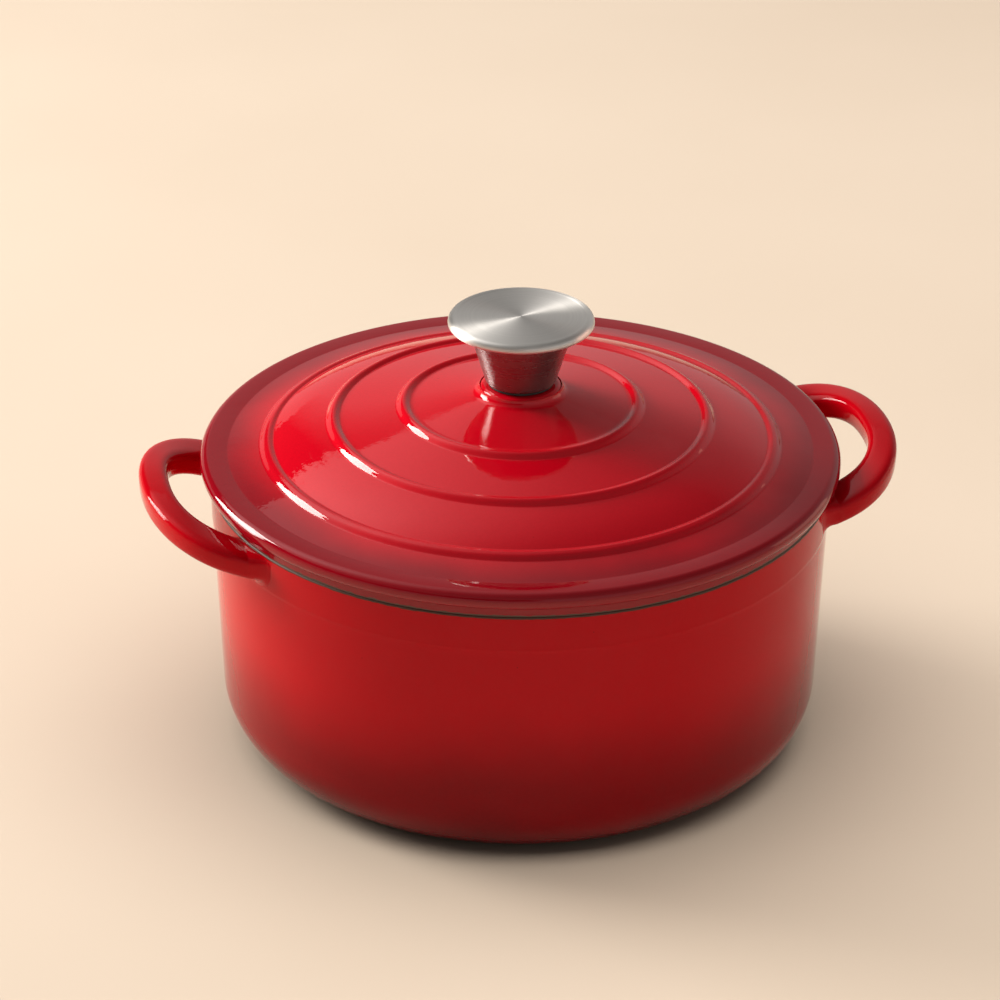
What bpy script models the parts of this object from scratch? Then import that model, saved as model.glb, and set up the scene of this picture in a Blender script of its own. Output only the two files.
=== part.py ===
"""Round cast iron dutch oven with two cast loop handles and a lid with a steel knob.

Frame: the origin is the centre of the base, +Z is up, the handles lie along +X and -X.
Lengths are written in millimetres and turned into metres by MM where a mesh is made.
"""

import math

import bmesh
import bpy

MM = 0.001
GAP = 0.3  # clearance between pieces that touch

# Pot casting
RIM_RADIUS = 124.0
RIM_HEIGHT = 113.0
WALL = 3.8
FLOOR = 4.8
BAND_HEIGHT = 15.0  # upper part of the wall, almost upright
BAND_TAPER = 0.3
WALL_DRAFT = math.radians(2.2)
BASE_CORNER = 26.0
INNER_CORNER = 21.0
RIM_EDGE = 0.9
FOOT_RING_INNER = 86.0
FOOT_RECESS = 0.8
POT_SEGMENTS = 60

# Loop handles, seen from above: u runs outward from the axis, v across
LOOP_CENTRE = 118.0
LOOP_OUTER = (35.0, 53.5, 2.1)  # reach beyond the centre, half width, roundness
LOOP_INNER = (23.0, 33.0, 2.5)
LOOP_TOP = RIM_HEIGHT - 0.8
LOOP_RISE = 13.0
LOOP_THICKNESS = 11.0
LOOP_ROUNDNESS = 3.2
LOOP_RINGS = 17
LOOP_SECTION = 12
ROOT_OUTER = (108.5, 56.0)
ROOT_INNER = (117.0, 33.5)
ROOT_FLARE = 2.4

# Lid casting, heights from the widest circle of its edge
LID_EDGE_RADIUS = 128.0
BEAD_RADIUS = 3.5
SEAT_DROP = 7.4
LID_EDGE_HEIGHT = RIM_HEIGHT + GAP + SEAT_DROP
SEAT_RADIUS = 123.9
RING_OUTER = 118.4
RING_INNER = 115.4
RING_DEPTH = 5.0
LID_WALL = 3.5
CREASE_RADIUS = 117.0
CREASE_HEIGHT = 3.2
DOME_PEAK = 30.6
DOME_SLOPE = 0.194
SHOULDER_DROP = 4.9  # how far the dome rolls off by the outermost ridge
SHOULDER_POWER = 8
RIDGE_RADII = (46.8, 74.8, 101.4)
RIDGE_HEIGHT = 1.6
RIDGE_HALF_WIDTH = 2.9
BOSS_RADIUS = 16.4
BOSS_TOP = 30.6
BOSS_EDGE = 1.8
BOSS_FOOT = 3.2
LID_HOLE = 3.5
PAD_RADIUS = 11.0  # flat pad for the washers under the lid
PAD_HEIGHT = DOME_PEAK - DOME_SLOPE * PAD_RADIUS - LID_WALL - 0.8
LID_SEGMENTS = 60

# Knob and its fastening
GASKET = (13.2, 3.6, 1.0)  # outer radius, hole radius, thickness
SKIRT_FOOT = 14.0
SKIRT_TOP = 21.2
SKIRT_HEIGHT = 23.6
SKIRT_WALL = 1.5
CAP_RADIUS = 29.0
CAP_EDGE = 3.6
CAP_SHOULDER = 2.4  # rounding of the disc's upper edge; the rest of its edge rounds under
BUSH_RADIUS = 5.5
BUSH_BORE = 3.25
SCREW_RADIUS = 2.95
SCREW_HEAD_RADIUS = 6.0
SCREW_HEAD = 3.8
SCREW_REACH = 17.0
RECESS_WIDTH = 1.3
RECESS_LENGTH = 6.4
RECESS_DEPTH = 2.2
PLAIN_WASHER = (8.5, 3.3, 1.4)
SPRING_WASHER = (5.6, 3.3, 1.5)
SPRING_GAP = math.radians(14)
KNOB_SEGMENTS = 36
SMALL_SEGMENTS = 24

# Finishes: colour, roughness, metallic
FINISHES = {
    "red_enamel": ((0.44, 0.006, 0.014), 0.12, 0.0),
    "satin_steel": ((0.60, 0.59, 0.57), 0.30, 1.0),
    "zinc_steel": ((0.50, 0.50, 0.49), 0.40, 1.0),
    "black_silicone": ((0.02, 0.02, 0.02), 0.75, 0.0),
}


def clear_scene():
    for old in list(bpy.data.objects):
        bpy.data.objects.remove(old, do_unlink=True)


def finish(name):
    """One Principled material per finish, shared by the pieces that have it."""
    known = bpy.data.materials.get(name)
    if known:
        return known
    colour, roughness, metallic = FINISHES[name]
    material = bpy.data.materials.new(name)
    material.use_nodes = True
    shader = material.node_tree.nodes["Principled BSDF"]
    shader.inputs["Base Color"].default_value = (*colour, 1.0)
    shader.inputs["Roughness"].default_value = roughness
    shader.inputs["Metallic"].default_value = metallic
    return material


def to_object(name, bm, material, parent=None):
    """Put a finished bmesh, in millimetres, into the scene as a named piece."""
    bmesh.ops.remove_doubles(bm, verts=bm.verts, dist=0.001)
    bmesh.ops.recalc_face_normals(bm, faces=bm.faces)
    bmesh.ops.scale(bm, vec=(MM, MM, MM), verts=bm.verts)
    mesh = bpy.data.meshes.new(name)
    bm.to_mesh(mesh)
    bm.free()
    mesh.shade_smooth()
    mesh.set_sharp_from_angle(angle=math.radians(32))
    mesh.materials.append(finish(material))
    piece = bpy.data.objects.new(name, mesh)
    piece.parent = parent
    bpy.context.scene.collection.objects.link(piece)
    return piece


def arc(centre, radius, start, end, steps):
    """Points of an arc in the (radius, height) plane, angles in degrees."""
    angles = [math.radians(start + (end - start) * i / steps) for i in range(steps + 1)]
    return [(centre[0] + radius * math.cos(a), centre[1] + radius * math.sin(a)) for a in angles]


def turned(name, outline, segments, material, parent=None):
    """Spin an outline about Z; it is closed by a face edge unless both its ends lie on the axis."""
    bm = bmesh.new()
    verts = [bm.verts.new((r, 0.0, z)) for r, z in outline]
    pairs = list(zip(verts, verts[1:]))
    if outline[0][0] > 0:
        pairs.append((verts[-1], verts[0]))
    edges = [bm.edges.new(pair) for pair in pairs]
    bmesh.ops.spin(bm, geom=verts + edges, cent=(0, 0, 0), axis=(0, 0, 1), dvec=(0, 0, 0),
                   angle=math.tau, steps=segments, use_merge=True, use_duplicate=False)
    return to_object(name, bm, material, parent)


# ---------------------------------------------------------------- pot

def wall_radius(height):
    """Outer radius of the pot wall above its bottom corner."""
    below_band = max(0.0, RIM_HEIGHT - BAND_HEIGHT - height)
    in_band = min(BAND_HEIGHT, RIM_HEIGHT - height) / BAND_HEIGHT
    return RIM_RADIUS - BAND_TAPER * in_band - below_band * math.tan(WALL_DRAFT)


def corner_centre(offset, corner, bottom):
    """Centre of the arc that joins the drafted wall, set in by offset, to a flat bottom."""
    height = bottom + corner
    tangent = height - corner * math.sin(WALL_DRAFT)
    return wall_radius(tangent) - offset - corner * math.cos(WALL_DRAFT), height


def pot_outline():
    """Half section of the pot, from the middle of its floor over the rim to the middle of its base."""
    draft = math.degrees(WALL_DRAFT)
    band = RIM_HEIGHT - BAND_HEIGHT
    inner_rim = RIM_RADIUS - WALL
    inside = corner_centre(WALL, INNER_CORNER, FLOOR)
    outside = corner_centre(0.0, BASE_CORNER, 0.0)
    points = [(0.0, FLOOR)]
    points += arc(inside, INNER_CORNER, -90, -draft, 6)
    points += [(wall_radius(band) - WALL, band)]
    points += arc((inner_rim + RIM_EDGE, RIM_HEIGHT - RIM_EDGE), RIM_EDGE, 180, 90, 2)
    points += arc((RIM_RADIUS - RIM_EDGE, RIM_HEIGHT - RIM_EDGE), RIM_EDGE, 90, 0, 2)
    points += [(wall_radius(band), band)]
    points += arc(outside, BASE_CORNER, -draft, -90, 7)
    points += [(FOOT_RING_INNER, 0.0), (FOOT_RING_INNER - 1.5, FOOT_RECESS), (0.0, FOOT_RECESS)]
    return points


def loop_point(shape, angle):
    """Point (u, v) of the handle's outer or inner edge at an angle from its tip."""
    reach, half_width, roundness = shape
    u = LOOP_CENTRE + reach * math.cos(angle) ** (2 / roundness)
    v = half_width * math.copysign(abs(math.sin(angle)) ** (2 / roundness), angle)
    return u, v


def loop_stations():
    """Outer point, inner point and flare of each section, from one root to the other."""
    stations = []
    for i in range(LOOP_RINGS):
        angle = math.radians(-89 + 178 * i / (LOOP_RINGS - 1))
        stations.append((loop_point(LOOP_OUTER, angle), loop_point(LOOP_INNER, angle), 0.0))
    near = ((ROOT_OUTER[0], -ROOT_OUTER[1]), (ROOT_INNER[0], -ROOT_INNER[1]), ROOT_FLARE)
    far = (ROOT_OUTER, ROOT_INNER, ROOT_FLARE)
    return [near] + stations + [far]


def loop_height(u):
    """Height of the handle's top face: it lifts a little towards the tip."""
    share = max(0.0, (u - LOOP_CENTRE) / LOOP_OUTER[0])
    return LOOP_TOP + LOOP_RISE * share


def section_ring(bm, outer, inner, flare, side):
    """One rounded section as a closed ring of vertices; a flare thickens it downward."""
    middle = [(a + b) / 2 for a, b in zip(outer, inner)]
    half = [(a - b) / 2 for a, b in zip(outer, inner)]
    height = (LOOP_THICKNESS + flare) / 2
    centre = loop_height(middle[0]) - height
    ring = []
    for i in range(LOOP_SECTION):
        angle = math.tau * (i + 0.5) / LOOP_SECTION
        across = math.copysign(abs(math.cos(angle)) ** (2 / LOOP_ROUNDNESS), math.cos(angle))
        up = math.copysign(abs(math.sin(angle)) ** (2 / LOOP_ROUNDNESS), math.sin(angle))
        u = middle[0] + half[0] * across
        v = middle[1] + half[1] * across
        ring.append(bm.verts.new((side * u, side * v, centre + height * up)))
    return ring


def loop_handle(side):
    """Solid of one loop handle, its roots sunk into the wall; a guide for the pot's union."""
    bm = bmesh.new()
    rings = [section_ring(bm, *station, side) for station in loop_stations()]
    loops = []
    for ring in rings:
        loops.append([bm.edges.new((a, b)) for a, b in zip(ring, ring[1:] + ring[:1])])
    for one, two in zip(loops, loops[1:]):
        bmesh.ops.bridge_loops(bm, edges=one + two)
    for ring in (rings[0], rings[-1]):
        bm.faces.new(ring)
    name = "right_loop_guide" if side > 0 else "left_loop_guide"
    guide = to_object(name, bm, "red_enamel")
    guide.hide_render = True
    guide.display_type = "WIRE"
    return guide


def make_pot():
    pot = turned("pot_body", pot_outline(), POT_SEGMENTS, "red_enamel")
    for side in (1, -1):
        union = pot.modifiers.new("loop", "BOOLEAN")
        union.operation = "UNION"
        union.object = loop_handle(side)


# ---------------------------------------------------------------- lid

def dome_height(radius):
    """Top of the lid without its ridges: a low cone, a rolled shoulder and a straight outer skirt."""
    ridge = RIDGE_RADII[-1]
    inside = min(radius, ridge)
    height = DOME_PEAK - DOME_SLOPE * inside - SHOULDER_DROP * (inside / ridge) ** SHOULDER_POWER
    share = (radius - inside) / (CREASE_RADIUS - ridge)
    return height + (CREASE_HEIGHT - height) * share


def ridge_points(radius):
    """Rounded concentric ridge: foot, flank, crest, flank, foot."""
    points = []
    for share in (-1.0, -0.5, 0.0, 0.5, 1.0):
        r = radius + share * RIDGE_HALF_WIDTH
        lift = RIDGE_HEIGHT * (1 - share * share) ** 1.5
        points.append((r, dome_height(r) + lift))
    return points


def lid_top():
    """Outside of the lid from the screw hole to the bead of its edge."""
    foot = BOSS_RADIUS + BOSS_FOOT
    points = [(LID_HOLE, BOSS_TOP)]
    points += arc((BOSS_RADIUS - BOSS_EDGE, BOSS_TOP - BOSS_EDGE), BOSS_EDGE, 90, 0, 2)
    points += [(foot, dome_height(foot))]
    spans = zip((foot,) + RIDGE_RADII, RIDGE_RADII)
    for start, ridge in spans:
        middle = (start + ridge) / 2
        points += [(middle, dome_height(middle))]
        points += ridge_points(ridge)
    points += [(CREASE_RADIUS, CREASE_HEIGHT)]
    points += arc((LID_EDGE_RADIUS - BEAD_RADIUS, 0.0), BEAD_RADIUS, 90, -90, 8)
    return points


def lid_under():
    """Underside from the bead over the seat and the locating ring back to the screw hole."""
    ring_foot = -SEAT_DROP - RING_DEPTH
    points = [(SEAT_RADIUS, -BEAD_RADIUS), (SEAT_RADIUS, -SEAT_DROP), (RING_OUTER, -SEAT_DROP)]
    points += [(RING_OUTER - 0.4, ring_foot + 0.8), (RING_OUTER - 1.2, ring_foot)]
    points += [(RING_INNER + 0.8, ring_foot), (RING_INNER, ring_foot + 0.8)]
    points += [(RING_INNER, -4.0), (RING_INNER - 3.0, -0.6)]
    for radius in (101.4, 88.0, 74.8, 60.0, 45.6, 30.0, PAD_RADIUS + 3.0):
        points.append((radius, dome_height(radius) - LID_WALL))
    points += [(PAD_RADIUS, PAD_HEIGHT), (LID_HOLE, PAD_HEIGHT)]
    return points


def make_lid(hub):
    outline = [(r, z + LID_EDGE_HEIGHT) for r, z in lid_top() + lid_under()]
    turned("lid", outline, LID_SEGMENTS, "red_enamel", hub)


# ---------------------------------------------------------------- knob

def make_washer(name, size, bottom, segments, material, hub):
    outer, hole, thickness = size
    top = bottom + thickness
    outline = [(hole, bottom), (outer, bottom), (outer, top), (hole, top)]
    turned(name, outline, segments, material, hub)
    return top


def make_skirt(bottom, hub):
    """Tapered steel shell, wide at the top, with an inward lip at its foot."""
    top = bottom + SKIRT_HEIGHT
    outline = [(BUSH_RADIUS + GAP, bottom), (SKIRT_FOOT - 0.5, bottom), (SKIRT_FOOT, bottom + 0.5)]
    outline += [(SKIRT_TOP, top), (SKIRT_TOP - SKIRT_WALL, top)]
    outline += [(SKIRT_FOOT - SKIRT_WALL, bottom + SKIRT_WALL), (BUSH_RADIUS + GAP, bottom + SKIRT_WALL)]
    turned("knob_skirt", outline, KNOB_SEGMENTS, "satin_steel", hub)
    return top


def make_cap(bottom, hub):
    """Flat steel disc with a rounded edge."""
    under = CAP_EDGE - CAP_SHOULDER
    middle = bottom + under
    outline = [(0.0, bottom)] + arc((CAP_RADIUS - under, middle), under, -90, 0, 3)[:-1]
    outline += arc((CAP_RADIUS - CAP_SHOULDER, middle), CAP_SHOULDER, 0, 90, 5)
    outline += [(0.0, bottom + CAP_EDGE)]
    turned("knob_cap", outline, KNOB_SEGMENTS, "satin_steel", hub)


def make_bush(bottom, top, hub):
    """Blind threaded post inside the skirt, open at its foot."""
    bore_top = bottom + SCREW_REACH - 2.0
    outline = [(0.0, top), (BUSH_RADIUS, top), (BUSH_RADIUS, bottom), (BUSH_BORE, bottom)]
    outline += [(BUSH_BORE, bore_top), (0.0, bore_top + 1.5)]
    turned("knob_threaded_bush", outline, SMALL_SEGMENTS, "zinc_steel", hub)


def make_spring_washer(top, hub):
    """Split ring under the screw head."""
    outer, hole, thickness = SPRING_WASHER
    bm = bmesh.new()
    low = top - thickness
    corners = [(hole, low), (outer, low), (outer, top), (hole, top)]
    verts = [bm.verts.new((r, 0.0, z)) for r, z in corners]
    edges = [bm.edges.new((a, b)) for a, b in zip(verts, verts[1:] + verts[:1])]
    bmesh.ops.spin(bm, geom=verts + edges, cent=(0, 0, 0), axis=(0, 0, 1), dvec=(0, 0, 0),
                   angle=math.tau - SPRING_GAP, steps=SMALL_SEGMENTS)
    bmesh.ops.holes_fill(bm, edges=bm.edges)
    to_object("spring_washer", bm, "zinc_steel", hub)
    return low


def recess_guide(bottom):
    """Cross-shaped driver recess of the screw head."""
    bm = bmesh.new()
    for long_x in (True, False):
        size = (RECESS_LENGTH, RECESS_WIDTH) if long_x else (RECESS_WIDTH, RECESS_LENGTH)
        cube = bmesh.ops.create_cube(bm, size=1.0)["verts"]
        depth = RECESS_DEPTH * 2 + (0.1 if long_x else 0.0)
        bmesh.ops.scale(bm, vec=(*size, depth), verts=cube)
        bmesh.ops.translate(bm, vec=(0, 0, bottom), verts=cube)
    guide = to_object("recess_guide", bm, "zinc_steel")
    guide.hide_render = True
    guide.display_type = "WIRE"
    return guide


def make_screw(head_top, hub):
    """Pan head screw driven from under the lid."""
    bottom = head_top - SCREW_HEAD
    shank_top = LID_EDGE_HEIGHT + BOSS_TOP + SCREW_REACH - 3.0
    outline = [(0.0, bottom), (SCREW_HEAD_RADIUS - 2.0, bottom)]
    outline += arc((SCREW_HEAD_RADIUS - 2.0, bottom + 2.0), 2.0, -60, 0, 3)
    outline += [(SCREW_HEAD_RADIUS, head_top), (SCREW_RADIUS, head_top)]
    outline += [(SCREW_RADIUS, shank_top - 0.8), (SCREW_RADIUS - 0.8, shank_top), (0.0, shank_top)]
    screw = turned("knob_screw", outline, SMALL_SEGMENTS, "zinc_steel", hub)
    cut = screw.modifiers.new("recess", "BOOLEAN")
    cut.operation = "DIFFERENCE"
    cut.use_self = True
    cut.object = recess_guide(bottom)


def make_knob(hub):
    """Everything clamped to the lid, from the gasket upward and from the pad downward."""
    gasket_bottom = LID_EDGE_HEIGHT + BOSS_TOP + GAP
    gasket_top = make_washer("knob_gasket", GASKET, gasket_bottom, SMALL_SEGMENTS, "black_silicone", hub)
    foot = gasket_top + GAP
    skirt_top = make_skirt(foot, hub)
    make_bush(foot, skirt_top, hub)
    make_cap(skirt_top + GAP, hub)
    plain_bottom = LID_EDGE_HEIGHT + PAD_HEIGHT - GAP - PLAIN_WASHER[2]
    make_washer("plain_washer", PLAIN_WASHER, plain_bottom, SMALL_SEGMENTS, "zinc_steel", hub)
    spring_bottom = make_spring_washer(plain_bottom - GAP, hub)
    make_screw(spring_bottom - GAP, hub)


def main():
    clear_scene()
    make_pot()
    hub = bpy.data.objects.new("lid_lift_axis", None)
    bpy.context.scene.collection.objects.link(hub)
    make_lid(hub)
    make_knob(hub)


main()
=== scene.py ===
import math

import bmesh
import bpy
from mathutils import Matrix, Vector


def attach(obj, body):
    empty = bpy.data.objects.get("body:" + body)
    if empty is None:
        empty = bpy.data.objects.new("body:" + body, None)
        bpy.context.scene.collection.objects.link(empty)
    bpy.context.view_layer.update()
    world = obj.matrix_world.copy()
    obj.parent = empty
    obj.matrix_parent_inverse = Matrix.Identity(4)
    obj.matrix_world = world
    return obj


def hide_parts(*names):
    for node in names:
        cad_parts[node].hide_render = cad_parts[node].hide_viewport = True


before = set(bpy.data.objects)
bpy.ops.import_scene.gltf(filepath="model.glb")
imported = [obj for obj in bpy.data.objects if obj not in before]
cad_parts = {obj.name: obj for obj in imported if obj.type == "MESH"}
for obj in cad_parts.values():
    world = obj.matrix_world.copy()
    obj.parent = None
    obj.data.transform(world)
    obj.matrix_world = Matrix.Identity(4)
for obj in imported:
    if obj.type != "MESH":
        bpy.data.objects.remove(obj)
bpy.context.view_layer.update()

# ------------------------------------------------------------------------------------------------
# Pot casting: a single grey iron casting, turned about its axis, with a flat machined rim and a
# foot ring. Outside it carries a glossy red enamel that darkens toward the base, inside a sand
# enamel, and the rim is left with a thin matt black coat where the lid grinds on it.

MM = 0.001


def rounded(corners, steps=6):
    """Outline through (radius, height, fillet) corners in millimetres, each fillet an arc."""
    points = []
    for i, corner in enumerate(corners):
        here = Vector(corner[:2])
        fillet = corner[2] if len(corner) > 2 else 0.0
        if fillet == 0.0 or i in (0, len(corners) - 1):
            points.append(here)
            continue
        back = (Vector(corners[i - 1][:2]) - here).normalized()
        ahead = (Vector(corners[i + 1][:2]) - here).normalized()
        half = math.acos(max(-1.0, min(1.0, back.dot(ahead)))) / 2
        reach = fillet / math.tan(half)
        centre = here + (back + ahead).normalized() * (fillet / math.sin(half))
        start = here + back * reach - centre
        sweep = start.angle_signed(here + ahead * reach - centre)
        for step in range(steps + 1):
            points.append(centre + Matrix.Rotation(-sweep * step / steps, 2) @ start)
    return points


def turn(bm, outline, foot, steps, closed=False):
    """Spin an outline standing on a foot height about Z; closed joins its two ends first."""
    verts = [bm.verts.new((p[0] * MM, 0.0, (p[1] + foot) * MM)) for p in outline]
    edges = [bm.edges.new(pair) for pair in zip(verts, verts[1:])]
    if closed:
        edges.append(bm.edges.new((verts[-1], verts[0])))
    bmesh.ops.spin(bm, geom=verts + edges, cent=(0, 0, 0), axis=(0, 0, 1), dvec=(0, 0, 0),
                   angle=math.tau, steps=steps, use_merge=True, use_duplicate=False)
    bmesh.ops.remove_doubles(bm, verts=bm.verts, dist=1e-6)
    bmesh.ops.recalc_face_normals(bm, faces=bm.faces)


def to_piece(bm, name, finishes, sharp=38.0):
    """A finished bmesh becomes a smooth-shaded piece at the origin with its finishes."""
    mesh = bpy.data.meshes.new(name)
    bm.to_mesh(mesh)
    bm.free()
    mesh.shade_smooth()
    mesh.set_sharp_from_angle(angle=math.radians(sharp))
    for finish in finishes:
        mesh.materials.append(finish)
    piece = bpy.data.objects.new(name, mesh)
    bpy.context.scene.collection.objects.link(piece)
    return piece


def node(tree, kind, settings=None, **sockets):
    """One shader node; a socket is given a value, or another node's output to be linked to."""
    made = tree.nodes.new(kind)
    for key, value in (settings or {}).items():
        setattr(made, key, value)
    for key, value in sockets.items():
        numbered = key[0] == "i" and key[1:].isdigit()
        socket = made.inputs[int(key[1:]) if numbered else key.replace("_", " ")]
        if isinstance(value, bpy.types.NodeSocket):
            tree.links.new(value, socket)
        else:
            socket.default_value = value
    return made


def maths(tree, operation, *values):
    """Arithmetic between sockets and plain numbers."""
    sockets = {f"i{n}": value for n, value in enumerate(values)}
    return node(tree, "ShaderNodeMath", {"operation": operation}, **sockets).outputs[0]


def span(tree, value, low, high, to_low=0.0, to_high=1.0):
    """A value between low and high spread over another range, clamped."""
    made = node(tree, "ShaderNodeMapRange", i0=value, i1=low, i2=high, i3=to_low, i4=to_high)
    return made.outputs[0]


def noise(tree, place, scale, detail=2.0, roughness=0.5):
    """Noise of a scale in cycles per metre, mostly between 0.3 and 0.7."""
    made = node(tree, "ShaderNodeTexNoise", Vector=place, Scale=scale, Detail=detail,
                Roughness=roughness)
    return made.outputs["Factor" if "Factor" in made.outputs else "Fac"]


def wavering(tree, place, value, scale, reach):
    """A value shifted by noise up to a reach either way, so that a line drawn from it wavers."""
    drift = noise(tree, place, scale, 3.0)
    return maths(tree, "ADD", value, span(tree, drift, 0.3, 0.7, -reach, reach))


def blend(tree, share, one, two):
    """Mix of two colours by a share."""
    made = node(tree, "ShaderNodeMix", {"data_type": "RGBA"}, i0=share)
    for socket, colour in ((made.inputs[6], one), (made.inputs[7], two)):
        if isinstance(colour, bpy.types.NodeSocket):
            tree.links.new(colour, socket)
        else:
            socket.default_value = (*colour, 1.0)
    return made.outputs[2]


def fade(tree, value, stops):
    """Colour ramp through (position, colour) stops."""
    ramp = node(tree, "ShaderNodeValToRGB", i0=value)
    ramp.color_ramp.interpolation = "EASE"
    ends = ramp.color_ramp.elements
    ends[0].position, ends[0].color = stops[0][0], (*stops[0][1], 1.0)
    ends[1].position, ends[1].color = stops[-1][0], (*stops[-1][1], 1.0)
    for position, colour in stops[1:-1]:
        ends.new(position).color = (*colour, 1.0)
    return ramp.outputs[0]


def new_finish(name):
    """An empty finish: its node tree, its shader and the piece's own coordinates in metres."""
    finish = bpy.data.materials.new(name)
    finish.use_nodes = True
    tree = finish.node_tree
    shader = tree.nodes["Principled BSDF"]
    place = node(tree, "ShaderNodeTexCoord").outputs["Object"]
    return finish, tree, shader, place


def around(tree, place):
    """Distance from the pot's axis, and height."""
    parts = node(tree, "ShaderNodeSeparateXYZ", Vector=place).outputs
    flat = node(tree, "ShaderNodeCombineXYZ", X=parts[0], Y=parts[1]).outputs[0]
    length = node(tree, "ShaderNodeVectorMath", {"operation": "LENGTH"}, i0=flat).outputs["Value"]
    return length, parts[2]


PEEL = 0.000030
SWELL = 0.00022
BLACK_COAT = (0.085, 0.042, 0.028)


def glaze_over(tree, shader, place, glaze, bare, patches, shine, bare_roughness):
    """A glaze with its smudged gloss, orange peel and slow waves, and black coat where bare."""
    tree.links.new(blend(tree, bare, glaze, BLACK_COAT), shader.inputs["Base Color"])
    smudge = span(tree, noise(tree, place, patches, 4.0, 0.6), 0.40, 0.72, *shine)
    gloss = node(tree, "ShaderNodeMix", {"data_type": "FLOAT"}, i0=bare, i2=smudge,
                 i3=bare_roughness)
    tree.links.new(gloss.outputs[0], shader.inputs["Roughness"])
    fine = node(tree, "ShaderNodeBump", Strength=1.0, Distance=PEEL,
                Height=noise(tree, place, 260.0, 2.0, 0.5))
    slow = node(tree, "ShaderNodeBump", Strength=1.0, Distance=SWELL,
                Height=noise(tree, place, 30.0, 1.0, 0.4), Normal=fine.outputs[0])
    tree.links.new(slow.outputs[0], shader.inputs["Normal"])


GRAIN_RED = (0.36, 0.0004, 0.004)
PINHOLE_RED = (0.16, 0.001, 0.002)
PINHOLE_SHARE = 0.012


def fired_red(tree, place, red):
    """Red enamel's fine grain, and the few tiny dark pits that firing leaves in it."""
    grain = span(tree, noise(tree, place, 900.0, 2.0), 0.35, 0.65, 0.0, 0.10)
    red = blend(tree, grain, red, GRAIN_RED)
    cells = node(tree, "ShaderNodeTexVoronoi", Vector=place, Scale=420.0)
    near = span(tree, cells.outputs["Distance"], 0.05, 0.13, 1.0, 0.0)
    pick = node(tree, "ShaderNodeSeparateColor", Color=cells.outputs["Color"]).outputs[0]
    chosen = maths(tree, "GREATER_THAN", pick, 1.0 - PINHOLE_SHARE)
    return blend(tree, maths(tree, "MULTIPLY", near, chosen), red, PINHOLE_RED)


RIM_RADIUS = 124.0
RIM_HEIGHT = 113.0
WALL = 3.8
FLOOR = 4.8
WALL_DRAFT = math.tan(math.radians(2.2))
BAND_FOOT = 98.0
BAND_STEP = 0.3
FOOT_RING = 86.0
FOOT_HEIGHT = 0.8
BASE_ROUND = 26.0
INSIDE_ROUND = 21.0
POT_STEPS = 288

RED_BASE = (0.100, 0.0004, 0.0022)
RED_LOW = (0.230, 0.0005, 0.0034)
RED_WALL = (0.500, 0.0006, 0.0060)


def red_pot_finish():
    """Red enamel of the wall and handles: deep at the base, brighter toward the rim."""
    finish, tree, shader, place = new_finish("red_enamel_wall")
    radius, height = around(tree, place)
    level = wavering(tree, place, height, 16.0, 0.006)
    share = span(tree, level, 0.0, RIM_HEIGHT * MM)
    red = fade(tree, share, ((0.0, RED_BASE), (0.24, RED_LOW), (0.66, RED_WALL), (1.0, RED_WALL)))
    red = fired_red(tree, place, red)
    on_wall = maths(tree, "LESS_THAN", radius, (RIM_RADIUS + 0.3) * MM)
    rim_line = wavering(tree, place, height, 260.0, 0.00016)
    rim = maths(tree, "MULTIPLY", span(tree, rim_line, 0.11205, 0.11225), on_wall)
    foot_line = wavering(tree, place, height, 260.0, 0.0004)
    foot = span(tree, foot_line, 0.0005, 0.0011, 1.0, 0.0)
    bare = maths(tree, "MAXIMUM", rim, foot)
    glaze_over(tree, shader, place, red, bare, 12.0, (0.020, 0.060), 0.38)
    shader.inputs["Specular IOR Level"].default_value = 0.14
    return finish


SAND = (0.72, 0.63, 0.49)
SAND_SHADE = (0.64, 0.55, 0.41)
SAND_SPECK = (0.36, 0.28, 0.18)


def sand_finish(name, coat_clear, coat_full):
    """Pale sand enamel with its fine speckle; the coat fades in between two heights in metres."""
    finish, tree, shader, place = new_finish(name)
    height = around(tree, place)[1]
    cloud = span(tree, noise(tree, place, 20.0, 3.0), 0.3, 0.7)
    sand = blend(tree, cloud, SAND, SAND_SHADE)
    speck = span(tree, noise(tree, place, 1400.0, 2.0, 0.6), 0.60, 0.68, 0.0, 0.45)
    sand = blend(tree, speck, sand, SAND_SPECK)
    coat_line = wavering(tree, place, height, 260.0, 0.0003)
    bare = span(tree, coat_line, coat_clear, coat_full)
    glaze_over(tree, shader, place, sand, bare, 14.0, (0.09, 0.17), 0.55)
    return finish


def wall_at(height):
    """Outer radius of the drafted wall below the rim band."""
    return RIM_RADIUS - BAND_STEP - (BAND_FOOT - height) * WALL_DRAFT


pot_outline = [(0.0, FOOT_HEIGHT), (FOOT_RING - 1.5, FOOT_HEIGHT, 0.8), (FOOT_RING, 0.0, 0.8)]
pot_outline += [(wall_at(0.0), 0.0, BASE_ROUND), (wall_at(BAND_FOOT - 1.0), BAND_FOOT - 1.0, 1.5)]
pot_outline += [(RIM_RADIUS - 0.12, BAND_FOOT + 0.6, 1.5), (RIM_RADIUS, RIM_HEIGHT, 0.7)]
pot_outline += [(RIM_RADIUS - WALL, RIM_HEIGHT, 1.1)]
pot_outline += [(RIM_RADIUS - BAND_STEP - WALL, BAND_FOOT, 4.0)]
pot_outline += [(wall_at(FLOOR) - WALL, FLOOR, INSIDE_ROUND), (0.0, FLOOR)]
pot_mesh = bmesh.new()
turn(pot_mesh, rounded(pot_outline, 12), 0.0, POT_STEPS)
for face in pot_mesh.faces:
    middle = face.calc_center_median()
    facing_out = face.normal.dot(Vector((middle.x, middle.y, 0.0)).normalized())
    inside = middle.z > 0.002 and (facing_out < -0.2 or face.normal.z > 0.3)
    face.material_index = int(inside)

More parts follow.
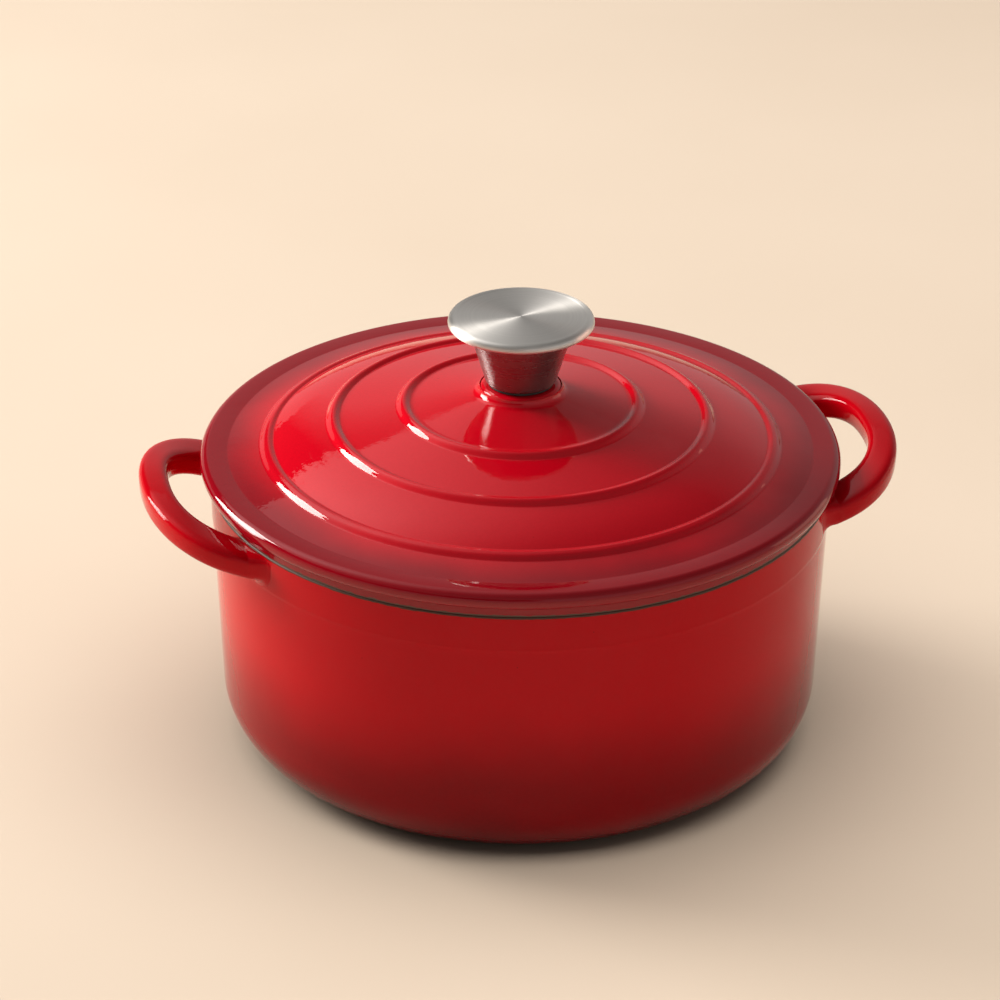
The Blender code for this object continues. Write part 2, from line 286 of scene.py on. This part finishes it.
# ------------------------------------------------------------------------------------------------
# Loop handles: cast in one with the wall just under the rim, one on each side. A thick bar with a
# flat, softly edged top runs out, round and back, lifts toward its tip, and swells into the wall
# with a small fillet. The same red enamel covers them.

LOOP_START = 118.0
LOOP_TOP = RIM_HEIGHT - 0.8
LOOP_REACH = 35.0
LOOP_HALF = 53.5
HOLE_REACH = 23.0
HOLE_HALF = 33.0
LOOP_RISE = 13.0 / LOOP_REACH
LOOP_THICK = 11.0
LOOP_FILLET = 3.0
BAR_SQUARENESS = 0.54
ROOT_STEPS = 26


def loop_edge(reach, half_width, roundness, angle):
    """Point of the handle's outer or inner edge seen from above."""
    u = LOOP_START + reach * abs(math.cos(angle)) ** (2 / roundness)
    v = half_width * math.copysign(abs(math.sin(angle)) ** (2 / roundness), angle)
    return Vector((u, v))


def loop_section(bm, outer, inner):
    """Closed ring of edges: the bar's section between an outer and an inner edge point."""
    middle = (outer + inner) / 2
    half = (outer - inner) / 2
    lift = LOOP_RISE * max(0.0, middle.x - LOOP_START)
    ring = bmesh.ops.create_circle(bm, segments=48, radius=1.0)["verts"]
    for vert in ring:
        across = math.copysign(abs(vert.co.x) ** BAR_SQUARENESS, vert.co.x)
        up = math.copysign(abs(vert.co.y) ** BAR_SQUARENESS, vert.co.y)
        place = middle + half * across * (1.0 - 0.04 * (1.0 - up))
        vert.co = Vector((place.x, place.y, LOOP_TOP + lift - LOOP_THICK / 2 * (1 - up))) * MM
    return list({edge for vert in ring for edge in vert.link_edges})


def loop_stations():
    """Outer and inner edge points of every section from one root to the other."""
    outer_root = (Vector((108.9, -56.0)), Vector((LOOP_START, -LOOP_HALF)))
    inner_root = (Vector((117.4, -33.6)), Vector((LOOP_START, -HOLE_HALF)))
    stations = []
    for step in range(ROOT_STEPS):
        share = step / ROOT_STEPS
        stations.append((outer_root[0].lerp(outer_root[1], share),
                         inner_root[0].lerp(inner_root[1], share)))
    for step in range(181):
        angle = math.radians(-90 + step)
        stations.append((loop_edge(LOOP_REACH, LOOP_HALF, 2.1, angle),
                         loop_edge(HOLE_REACH, HOLE_HALF, 2.5, angle)))
    for outer, inner in stations[ROOT_STEPS - 1::-1]:
        stations.append((Vector((outer.x, -outer.y)), Vector((inner.x, -inner.y))))
    return stations


def fillet_roots(bm):
    """Swell the bar where it nears the wall, sliding its skin sideways and down along the wall."""
    bm.normal_update()
    moves = []
    for vert in bm.verts:
        flat = Vector((vert.co.x, vert.co.y, 0.0))
        outward = flat.normalized()
        tall = vert.co.z / MM
        wall = RIM_RADIUS if tall > BAND_FOOT else wall_at(tall)
        near = min(LOOP_FILLET, max(0.0, LOOP_FILLET - (flat.length / MM - wall)))
        swell = LOOP_FILLET - math.sqrt(max(0.0, LOOP_FILLET ** 2 - near ** 2))
        push = vert.normal - outward * vert.normal.dot(outward)
        push.z = min(0.0, push.z)
        slid = vert.co + push * swell * MM
        ring = Vector((slid.x, slid.y, 0.0)).normalized() * flat.length
        moves.append((vert, Vector((ring.x, ring.y, slid.z))))
    for vert, place in moves:
        vert.co = place


handle = bmesh.new()
sections = [loop_section(handle, *station) for station in loop_stations()]
for one, two in zip(sections, sections[1:]):
    bmesh.ops.bridge_loops(handle, edges=one + two)
for end in (sections[0], sections[-1]):
    bmesh.ops.contextual_create(handle, geom=end)
bmesh.ops.recalc_face_normals(handle, faces=handle.faces)
fillet_roots(handle)
whole = handle.verts[:] + handle.edges[:] + handle.faces[:]
twin = bmesh.ops.duplicate(handle, geom=whole)["geom"]
twin_verts = [part for part in twin if isinstance(part, bmesh.types.BMVert)]
bmesh.ops.scale(handle, vec=(-1, 1, 1), verts=twin_verts)
bmesh.ops.recalc_face_normals(handle, faces=handle.faces)
handle_pair = bpy.data.meshes.new("handle_pair")
handle.to_mesh(handle_pair)
handle.free()
pot_mesh.from_mesh(handle_pair)
bpy.data.meshes.remove(handle_pair)

pot = to_piece(pot_mesh, "pot_casting",
               (red_pot_finish(), sand_finish("sand_enamel_inside", 0.1110, 0.1113)))
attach(pot, "pot")
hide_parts("pot_body")

# ------------------------------------------------------------------------------------------------
# Lid casting: one turned iron casting with three raised rings on a low cone, a round boss for the
# knob and a rolled bead at its edge. Underneath, a ground seat meets the pot's rim and a locating
# ring drops inside it. Red enamel outside, darker toward the edge, sand enamel inside.

LID_EDGE = RIM_HEIGHT + 0.3 + 7.4
RING_RADII = (46.8, 74.8, 101.4)
RING_HALF = 2.9
RING_LIFT = 1.6
BOSS_RADIUS = 16.3
BOSS_TOP = 30.6
CONE_SLOPE = 0.194
CONE_DROP = 4.9
CREASE = 117.0
CREASE_HEIGHT = 3.2
BEAD = 3.5
BEAD_CENTRE = 124.5
SEAT = -7.62
LOCATING_RING = (115.4, 118.4, -12.4)
LID_THICK = 3.5
SCREW_HOLE = 3.5

COAT_CLEAR = (LID_EDGE - 6.8) * MM
COAT_FULL = (LID_EDGE - 7.1) * MM
RED_HIGH = (0.625, 0.0009, 0.0110)
RED_EDGE = (0.270, 0.0012, 0.0075)


def dome(radius):
    """Height of the lid's cone over its edge circle, without the raised rings."""
    ring = RING_RADII[-1]
    inside = min(radius, ring)
    height = BOSS_TOP - CONE_SLOPE * inside - CONE_DROP * (inside / ring) ** 8
    return height + (CREASE_HEIGHT - height) * (radius - inside) / (CREASE - ring)


def ringed(radius):
    """The cone with its rounded rings."""
    lift = 0.0
    for ring in RING_RADII:
        lift = max(lift, 1.0 - ((radius - ring) / RING_HALF) ** 2)
    return dome(radius) + RING_LIFT * lift ** 1.5


def lid_outline():
    """Closed outline: boss, cone and rings, bead, seat, locating ring and smooth underside."""
    outline = [(SCREW_HOLE, BOSS_TOP), (BOSS_RADIUS, BOSS_TOP, 2.2), (16.6, dome(16.6), 3.6)]
    radius = 21.5
    while radius < CREASE - 2.5:
        outline.append((radius, ringed(radius)))
        near_ring = min(abs(radius - ring) for ring in RING_RADII) < 3.6
        radius += 0.3 if near_ring else 1.5
    outline += [(CREASE, CREASE_HEIGHT, 3.0), (BEAD_CENTRE, BEAD)]
    for step in range(1, 17):
        angle = math.radians(90 - 180 * step / 16)
        outline.append((BEAD_CENTRE + BEAD * math.cos(angle), BEAD * math.sin(angle)))
    ring_in, ring_out, ring_foot = LOCATING_RING
    outline += [(123.9, -BEAD, 0.1), (123.9, SEAT, 0.3), (ring_out, SEAT, 0.6)]
    outline += [(ring_out, ring_foot, 1.1), (ring_in, ring_foot, 1.1)]
    outline += [(ring_in, -3.6, 2.0), (112.0, -0.4, 3.0)]
    for radius in range(104, 14, -4):
        outline.append((radius, dome(radius) - LID_THICK))
    boss_under = dome(11.0) - 4.3
    outline += [(12.4, boss_under, 1.0), (SCREW_HOLE, boss_under)]
    return outline


def red_lid_finish():
    """Red enamel of the lid: bright in the middle, a deeper band on the flange at the edge."""
    finish, tree, shader, place = new_finish("red_enamel_lid")
    radius, height = around(tree, place)
    share = span(tree, wavering(tree, place, radius, 16.0, 0.004), 0.0, 0.128)
    red = fade(tree, share, ((0.0, RED_HIGH), (0.75, RED_HIGH), (0.92, RED_EDGE), (1.0, RED_EDGE)))
    red = fired_red(tree, place, red)
    seat_line = wavering(tree, place, height, 260.0, 0.0003)
    bare = span(tree, seat_line, COAT_CLEAR, COAT_FULL)
    glaze_over(tree, shader, place, red, bare, 12.0, (0.012, 0.045), 0.55)
    shader.inputs["Specular IOR Level"].default_value = 0.36
    return finish


lid_mesh = bmesh.new()
turn(lid_mesh, rounded(lid_outline(), 8), LID_EDGE, POT_STEPS, closed=True)
for face in lid_mesh.faces:
    middle = face.calc_center_median()
    out = Vector((middle.x, middle.y)).length / MM
    under = middle.z / MM < LID_EDGE + max(-3.0, dome(out) - 2.0)
    face.material_index = int(out < 118.5 and face.normal.z < 0.2 and out > 3.6 and under)

lid = to_piece(lid_mesh, "lid_casting",
               (red_lid_finish(), sand_finish("sand_enamel_lid", COAT_CLEAR, COAT_FULL)))
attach(lid, "lid")
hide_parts("lid")

# ------------------------------------------------------------------------------------------------
# Gasket: a thin punched ring of black silicone between the knob and the enamelled boss. It keeps
# the steel off the glaze and shows as a dark line at the knob's foot.

GASKET_FOOT = LID_EDGE + BOSS_TOP + 0.3
GASKET_THICK = 1.0
GASKET_HOLE = 3.6
GASKET_RADIUS = 13.2


def silicone_finish():
    """Matt black rubber with a faint cloud of dust."""
    finish, tree, shader, place = new_finish("black_silicone")
    cloud = span(tree, noise(tree, place, 300.0, 3.0), 0.35, 0.7)
    rubber = blend(tree, cloud, (0.018, 0.017, 0.017), (0.040, 0.037, 0.036))
    tree.links.new(rubber, shader.inputs["Base Color"])
    tree.links.new(span(tree, cloud, 0.0, 1.0, 0.55, 0.75), shader.inputs["Roughness"])
    pores = node(tree, "ShaderNodeBump", Strength=1.0, Distance=0.00003,
                 Height=noise(tree, place, 2500.0, 2.0))
    tree.links.new(pores.outputs[0], shader.inputs["Normal"])
    return finish


gasket_outline = [(GASKET_HOLE, 0.5), (GASKET_HOLE, 0.0, 0.1)]
gasket_outline += [(GASKET_RADIUS, 0.0, 0.3), (GASKET_RADIUS, GASKET_THICK, 0.3)]
gasket_outline += [(GASKET_HOLE, GASKET_THICK, 0.1), (GASKET_HOLE, 0.6)]
gasket_mesh = bmesh.new()
turn(gasket_mesh, rounded(gasket_outline), GASKET_FOOT, 96, closed=True)
gasket = to_piece(gasket_mesh, "knob_gasket_ring", (silicone_finish(),))
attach(gasket, "lid")
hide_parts("knob_gasket")

# ------------------------------------------------------------------------------------------------
# Knob skirt: a drawn stainless steel shell, narrow at its foot and wide under the disc, with a
# satin finish put on while it turned, so its fine lines run round it. Its steel colour is darkened
# as painted shade from the disc above.

SKIRT_FOOT = GASKET_FOOT + GASKET_THICK + 0.3
SKIRT_HEIGHT = 23.6
SKIRT_LOW = 14.0
SKIRT_TOP = 21.2
SKIRT_HOLE = 5.8
# The skirt's steel colour is darkened well below the cap's steel: painted shade for the shadow the
# disc casts on it.
SKIRT_STEEL_PAINTED_SHADE = (0.31, 0.28, 0.28)


def turned_steel_finish(name, roughness, depth, tint):
    """Stainless steel with fine turning lines round the knob's axis and a soft streaked gloss."""
    finish, tree, shader, place = new_finish(name)
    radius, height = around(tree, place)
    along = node(tree, "ShaderNodeCombineXYZ", X=maths(tree, "MULTIPLY", radius, 1500.0),
                 Y=maths(tree, "MULTIPLY", height, 1500.0)).outputs[0]
    scratch = noise(tree, along, 1.0, 3.0, 0.7)
    coarse = noise(tree, along, 0.22, 2.0, 0.5)
    worn = noise(tree, place, 90.0, 4.0, 0.6)
    steel = blend(tree, span(tree, scratch, 0.3, 0.7), [c * 0.94 for c in tint], tint)
    steel = blend(tree, span(tree, worn, 0.45, 0.75, 0.0, 0.15), steel, [c * 0.88 for c in tint])
    tree.links.new(steel, shader.inputs["Base Color"])
    mixed = maths(tree, "ADD", span(tree, coarse, 0.3, 0.7, -0.02, 0.02),
                  span(tree, worn, 0.4, 0.7, 0.0, 0.03))
    tree.links.new(maths(tree, "ADD", mixed, roughness), shader.inputs["Roughness"])
    shader.inputs["Metallic"].default_value = 1.0
    shader.inputs["Anisotropic"].default_value = 0.85
    shader.inputs["Anisotropic Rotation"].default_value = 0.25
    round_way = node(tree, "ShaderNodeVectorMath", {"operation": "CROSS_PRODUCT"},
                     i0=(0, 0, 1), i1=place)
    to_world = {"vector_type": "VECTOR", "convert_from": "OBJECT", "convert_to": "WORLD"}
    world_way = node(tree, "ShaderNodeVectorTransform", to_world, i0=round_way.outputs[0])
    tree.links.new(world_way.outputs[0], shader.inputs["Tangent"])
    grooves = node(tree, "ShaderNodeBump", Strength=1.0, Distance=depth, Height=scratch)
    tree.links.new(grooves.outputs[0], shader.inputs["Normal"])
    return finish


skirt_outline = [(SKIRT_HOLE, 0.75), (SKIRT_HOLE, 0.0, 0.1), (SKIRT_LOW, 0.0, 0.6)]
skirt_outline += [(SKIRT_TOP - 0.15, SKIRT_HEIGHT - 0.5, 1.0), (SKIRT_TOP, SKIRT_HEIGHT, 0.2)]
skirt_outline += [(SKIRT_TOP - 1.5, SKIRT_HEIGHT, 0.2), (SKIRT_LOW - 1.5, 1.5, 0.8)]
skirt_outline += [(SKIRT_HOLE, 1.5, 0.1), (SKIRT_HOLE, 0.8)]
skirt_mesh = bmesh.new()
turn(skirt_mesh, rounded(skirt_outline), SKIRT_FOOT, 160, closed=True)
# Satin steel finish whose dark tint is painted shade from the disc above.
skirt = to_piece(skirt_mesh, "knob_skirt_shell",
                 (turned_steel_finish("satin_skirt_steel_painted_shade", 0.27, 0.0000002, SKIRT_STEEL_PAINTED_SHADE),))
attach(skirt, "lid")
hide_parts("knob_skirt")

# ------------------------------------------------------------------------------------------------
# Knob cap: a stainless steel disc closing the skirt, its face spun against an abrasive so that it
# throws the two bright fans of a turned surface, and its edge rounded over.

CAP_FOOT = SKIRT_FOOT + SKIRT_HEIGHT + 0.3
CAP_RADIUS = 29.0
CAP_THICK = 3.6
CAP_STEEL = (0.79, 0.765, 0.73)

cap_outline = [(0.0, 0.0), (CAP_RADIUS, 0.0, 1.1), (CAP_RADIUS, CAP_THICK, 2.3)]
cap_outline += [(25.9, CAP_THICK, 0.4), (25.4, 3.5, 0.4), (0.0, 3.5)]
cap_mesh = bmesh.new()
turn(cap_mesh, rounded(cap_outline), CAP_FOOT, 200)
cap = to_piece(cap_mesh, "knob_cap_disc",
               (turned_steel_finish("spun_cap_steel", 0.37, 0.0000012, CAP_STEEL),))
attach(cap, "lid")
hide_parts("knob_cap")

# ------------------------------------------------------------------------------------------------
# Fastening: a blind threaded steel bush inside the skirt, and under the lid a plain washer, a
# split spring washer and a cross-slot pan head screw that draw the knob down on its gasket. All
# are zinc plated, and they keep the shapes of the metal parts.


def zinc_finish():
    """Pale zinc plate with a faint warm and blue cloud, dull in patches."""
    finish, tree, shader, place = new_finish("zinc_plate")
    cloud = span(tree, noise(tree, place, 140.0, 3.0), 0.35, 0.65)
    plate = blend(tree, cloud, (0.56, 0.57, 0.60), (0.60, 0.58, 0.52))
    tree.links.new(plate, shader.inputs["Base Color"])
    dull = span(tree, noise(tree, place, 600.0, 3.0), 0.3, 0.7, 0.24, 0.42)
    tree.links.new(dull, shader.inputs["Roughness"])
    shader.inputs["Metallic"].default_value = 1.0
    tool_marks = node(tree, "ShaderNodeBump", Strength=1.0, Distance=0.00001,
                      Height=noise(tree, place, 1800.0, 2.0))
    tree.links.new(tool_marks.outputs[0], shader.inputs["Normal"])
    return finish


zinc = zinc_finish()
for name in ("knob_threaded_bush", "knob_screw", "plain_washer", "spring_washer"):
    for material_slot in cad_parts[name].material_slots:
        material_slot.material = zinc

# ------------------------------------------------------------------------------------------------
# Studio: a plain pale table top with a broad soft light of its own, a small and a broad soft light
# from the left, a faint warm bounce from the right, and a window glow behind on the left.


def studio_floor():
    """Large plain table top with the faintest mottle."""
    bm = bmesh.new()
    bmesh.ops.create_grid(bm, x_segments=2, y_segments=2, size=6.0)
    finish, tree, shader, place = new_finish("pale_table")
    cloud = span(tree, noise(tree, place, 3.0, 3.0), 0.3, 0.7)
    mottle = blend(tree, cloud, (0.325, 0.275, 0.225), (0.31, 0.26, 0.21))
    tree.links.new(mottle, shader.inputs["Base Color"])
    shader.inputs["Roughness"].default_value = 0.80
    shader.inputs["Specular IOR Level"].default_value = 0.0
    floor = to_piece(bm, "studio_floor", (finish,))
    return floor


def facing(azimuth, elevation):
    """Unit direction away from the pot toward an azimuth and elevation in degrees."""
    round_way, up = math.radians(azimuth), math.radians(elevation)
    level = math.cos(up)
    return Vector((math.cos(round_way) * level, math.sin(round_way) * level, math.sin(up)))


GLOW_WIDTH = 26.0
GLOW_FOOT = 33.0
SILL_FOOT = 12.0


def surround():
    """Pale surround: a window glow high behind on the left, a dark ragged-edged strip under it."""
    world = bpy.data.worlds.new("surround")
    bpy.context.scene.world = world
    world.use_nodes = True
    tree = world.node_tree
    way = node(tree, "ShaderNodeTexCoord").outputs["Generated"]
    parts = node(tree, "ShaderNodeSeparateXYZ", Vector=way).outputs
    height = maths(tree, "MULTIPLY", maths(tree, "ARCSINE", parts[2]), math.degrees(1.0))
    ragged = span(tree, noise(tree, way, 16.0, 5.0, 0.7), 0.3, 0.7, -3.2, 3.2)
    edge = maths(tree, "ADD", height, ragged)
    toward = node(tree, "ShaderNodeVectorMath", {"operation": "DOT_PRODUCT"},
                  i0=way, i1=facing(128.0, 44.0)).outputs["Value"]
    apart = maths(tree, "MULTIPLY", maths(tree, "ARCCOSINE", toward),
                  math.degrees(1.0) / GLOW_WIDTH)
    glow = maths(tree, "MULTIPLY", maths(tree, "MULTIPLY", apart, apart), -1.0)
    glow = maths(tree, "MULTIPLY", maths(tree, "EXPONENT", glow),
                 span(tree, edge, GLOW_FOOT, GLOW_FOOT + 1.0, 0.0, 2.1))
    wall = span(tree, height, 20.0, 44.0, 0.47, 0.12)
    wall = maths(tree, "ADD", wall, span(tree, parts[1], 0.2, -0.6, 0.0, 0.10))
    sill = maths(tree, "MULTIPLY", span(tree, parts[0], -0.02, -0.14),
                 span(tree, edge, SILL_FOOT, SILL_FOOT + 0.6))
    sill = maths(tree, "MULTIPLY", sill, span(tree, edge, GLOW_FOOT + 1.0, GLOW_FOOT))
    wall = maths(tree, "MULTIPLY", wall, span(tree, sill, 0.0, 1.0, 1.0, 0.10))
    back = tree.nodes["Background"]
    back.inputs["Color"].default_value = (1.0, 0.97, 0.94, 1.0)
    tree.links.new(maths(tree, "ADD", wall, glow), back.inputs["Strength"])


def soft_light(name, azimuth, elevation, distance, width, height, power, colour):
    """Rectangular light aimed at the pot from an azimuth and elevation in degrees."""
    light = bpy.data.lights.new(name, "AREA")
    light.shape = "RECTANGLE"
    light.size = width
    light.size_y = height
    light.energy = power
    light.color = colour
    away = facing(azimuth, elevation)
    lamp = bpy.data.objects.new(name, light)
    lamp.location = Vector((0, 0, 0.1)) + away * distance
    lamp.rotation_euler = away.to_track_quat("Z", "Y").to_euler()
    bpy.context.scene.collection.objects.link(lamp)
    return lamp


floor = studio_floor()
surround()
soft_light("window_left", 145.0, 29.0, 2.2, 0.74, 0.74, 37.0, (1.0, 0.96, 0.90))
soft_light("window_low", 146.0, 15.0, 2.0, 0.95, 0.66, 36.0, (1.0, 0.95, 0.88))
soft_light("bounce_right", 8.0, 8.0, 2.0, 1.20, 0.80, 4.0, (1.0, 0.50, 0.36))
table_light = soft_light("table_light", 0.0, 90.0, 2.0, 3.0, 3.0, 138.0, (1.0, 0.95, 0.89))
table_only = bpy.data.collections.new("table_only")
table_only.objects.link(floor)
table_light.light_linking.receiver_collection = table_only

LID_RADIUS = 0.128
VIEW_BACK = 11.744 * LID_RADIUS
VIEW_UP = 5.872 * LID_RADIUS + LID_EDGE * MM
VIEW_PITCH, VIEW_YAW, VIEW_ROLL = (math.radians(a) for a in (27.229, -0.307, 0.25))
VIEW_ROUND = math.radians(-12.0)


def look_from():
    """Camera in front of the pot, turned so that the right handle points a little away."""
    level = math.cos(VIEW_PITCH)
    ahead = Vector((math.sin(VIEW_YAW) * level, math.cos(VIEW_YAW) * level,
                    -math.sin(VIEW_PITCH)))
    right = Vector((math.cos(VIEW_YAW), -math.sin(VIEW_YAW), 0.0))
    top = right.cross(ahead)
    leaning = math.cos(VIEW_ROLL) * right + math.sin(VIEW_ROLL) * top
    top = math.cos(VIEW_ROLL) * top - math.sin(VIEW_ROLL) * right
    pose = Matrix((leaning, top, -ahead)).transposed().to_4x4()
    pose.translation = Vector((0.0, -VIEW_BACK, VIEW_UP))
    camera = bpy.data.cameras.new("studio_camera")
    camera.sensor_width = 36.0
    camera.lens = 151.2
    camera.clip_end = 50.0
    stand = bpy.data.objects.new("studio_camera", camera)
    stand.matrix_world = Matrix.Rotation(VIEW_ROUND, 4, "Z") @ pose
    bpy.context.scene.collection.objects.link(stand)
    bpy.context.scene.camera = stand


look_from()
bpy.context.scene.view_settings.view_transform = "Standard"
